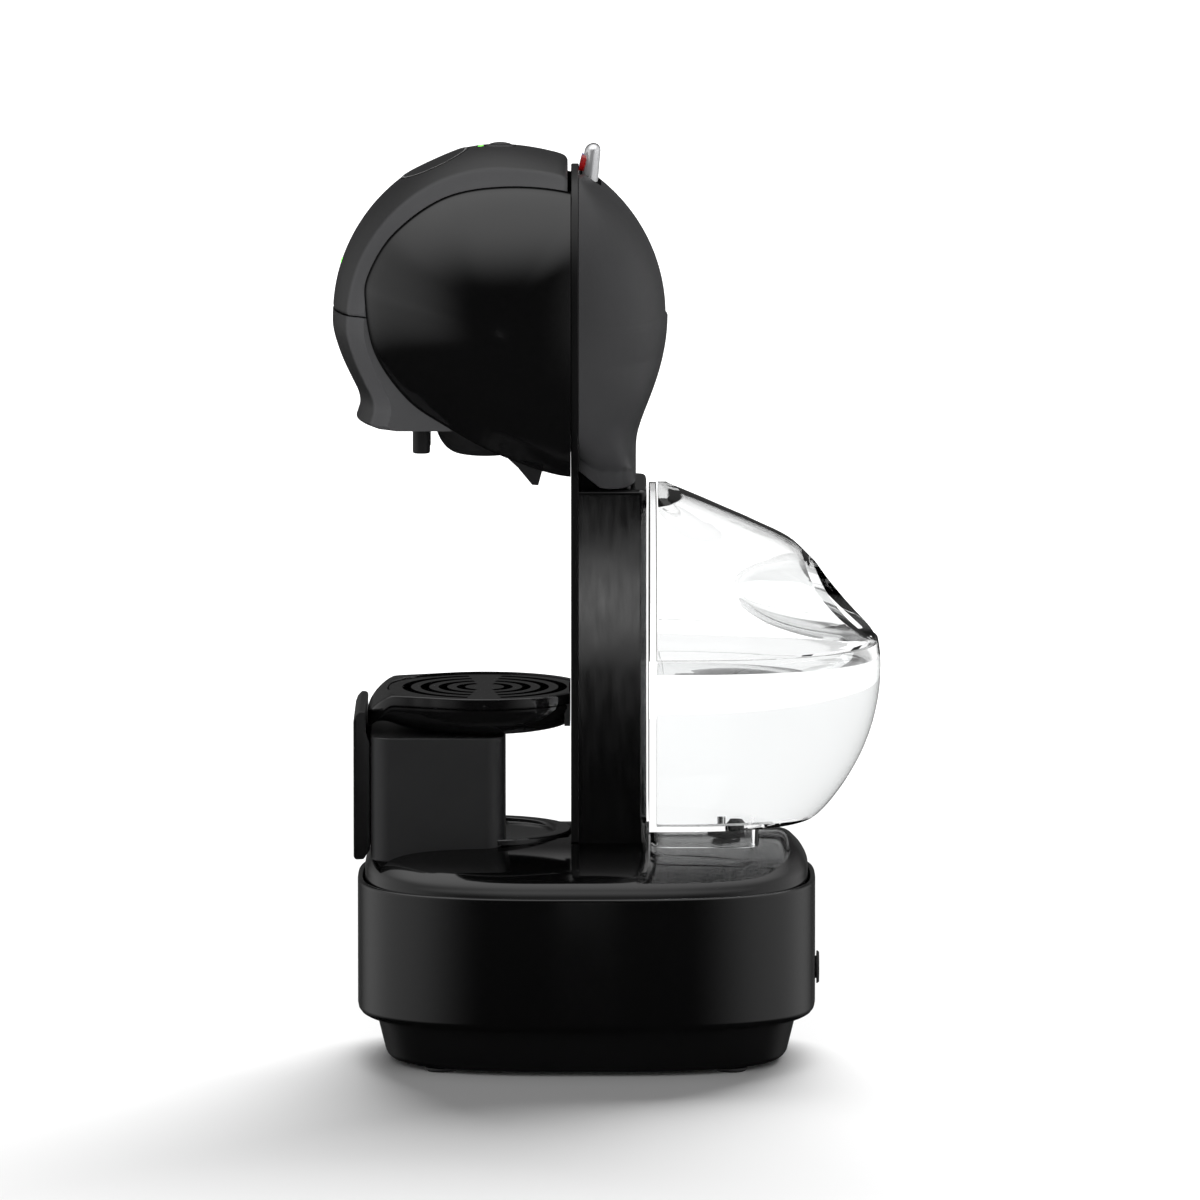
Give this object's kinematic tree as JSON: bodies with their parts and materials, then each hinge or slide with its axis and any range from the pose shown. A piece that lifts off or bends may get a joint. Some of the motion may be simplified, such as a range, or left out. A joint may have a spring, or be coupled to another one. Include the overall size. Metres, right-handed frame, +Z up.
{
  "type": "pod coffee machine",
  "caption": "Upright pod coffee machine with a round head, swing-up locking hoop, slide-out pod holder, clear rear water tank and lift-off drip tray.",
  "frame": {"origin": "on the worktop, under the middle of the machine's outline", "axes": "+Z up, -Y towards the front of the machine, where the cup stands, +X towards the side on the right of someone behind it looking forward"},
  "size_m": [0.1574, 0.2388, 0.4012],
  "materials": {
    "matte_black": "fine-grained satin black plastic",
    "satin_charcoal": "fine-grained charcoal plastic",
    "gloss_black": "piano black",
    "inner_black": "plain black plastic",
    "grey_ring": "grey satin",
    "rubber_black": "soft black",
    "steel": "plain steel",
    "cast_alloy": "cast",
    "chrome": "polished plating",
    "green_light": "lit green lens",
    "red_mark": "red inlay",
    "blue_mark": "blue inlay",
    "circuit_board": "green board with black parts",
    "hose_silicone": "milky silicone hose",
    "clear_plastic": "clear moulded plastic"
  },
  "bodies": {
    "machine": {"base_pan": "satin_charcoal", "base_band": "gloss_black", "base_deck": "gloss_black", "cup_seat_ring": "grey_ring", "rubber_foot_1": "rubber_black", "rubber_foot_2": "rubber_black", "rubber_foot_3": "rubber_black", "rubber_foot_4": "rubber_black", "base_screw_1": "steel", "base_screw_2": "steel", "base_screw_3": "steel", "base_screw_4": "steel", "cord_gland": "rubber_black", "water_pump": "inner_black", "pump_mount_front": "rubber_black", "pump_mount_rear": "rubber_black", "control_board": "circuit_board", "board_post_front": "inner_black", "board_post_rear": "inner_black", "thermoblock": "cast_alloy", "suction_hose": "hose_silicone", "pressure_hose": "hose_silicone", "rear_shell": "matte_black", "lever_bezel": "inner_black", "spine_plate": "gloss_black", "column_cover": "gloss_black", "head_frame": "inner_black", "side_panel_left": "gloss_black", "side_panel_right": "gloss_black", "handle_pin": "steel", "lever_pin": "steel", "valve_block": "inner_black", "valve_seal": "rubber_black"},
    "handle": {"locking_handle": "matte_black", "badge": "gloss_black", "power_light": "green_light", "front_light": "green_light", "button_spring": "steel"},
    "button": {"power_button": "matte_black"},
    "lever": {"lever_stem": "inner_black", "lever_grip": "chrome", "hot_mark": "red_mark", "cold_mark": "blue_mark"},
    "pod_drawer": {"pod_holder": "matte_black", "pod_cup": "inner_black"},
    "injector": {"injector_plate": "inner_black", "injector_seal": "rubber_black", "injector_needle": "steel"},
    "stand": {"drip_stand": "satin_charcoal", "stand_front_plate": "gloss_black"},
    "tray": {"drip_tray": "gloss_black"},
    "grid": {"drip_grid": "gloss_black"},
    "tank": {"tank_body": "clear_plastic", "tank_valve": "inner_black"},
    "lid": {"tank_lid": "clear_plastic"}
  },
  "joints": [
    {"name": "handle_hinge", "type": "hinge", "parent": "machine", "child": "handle", "pos_m": [0, -0.024, 0.3895], "axis": [-1, 0, 0], "range_deg": [0, 55]},
    {"name": "button_press", "type": "slide", "parent": "handle", "child": "button", "axis": [0, 0, -1], "range_m": [0, 0.0012], "stiffness_N_per_m": 600, "deforming": ["button_spring"]},
    {"name": "lever_swing", "type": "hinge", "parent": "machine", "child": "lever", "pos_m": [0, -0.0076, 0.3704], "axis": [0, 1, 0], "range_deg": [-18, 18]},
    {"name": "pod_holder_slide", "type": "slide", "parent": "machine", "child": "pod_drawer", "axis": [0, -1, 0], "range_m": [0, 0.11]},
    {"name": "injector_lift", "type": "slide", "parent": "machine", "child": "injector", "axis": [0, 0, 1], "range_m": [0, 0.008]},
    {"name": "stand_lift", "type": "slide", "parent": "machine", "child": "stand", "axis": [0, 0, 1], "range_m": [0, 0.03]},
    {"name": "tray_lift", "type": "slide", "parent": "stand", "child": "tray", "axis": [0, 0, 1], "range_m": [0, 0.03]},
    {"name": "grid_lift", "type": "slide", "parent": "tray", "child": "grid", "axis": [0, 0, 1], "range_m": [0, 0.025]},
    {"name": "tank_lift", "type": "slide", "parent": "machine", "child": "tank", "axis": [0, 0, 1], "range_m": [0, 0.02]},
    {"name": "lid_hinge", "type": "hinge", "parent": "tank", "child": "lid", "pos_m": [0, 0.0242, 0.2496], "axis": [1, 0, 0], "range_deg": [0, 60]}
  ],
  "couplings": [
    {"joint": "injector_lift", "follows": "handle_hinge", "m_per_rad": 0.0083}
  ]
}
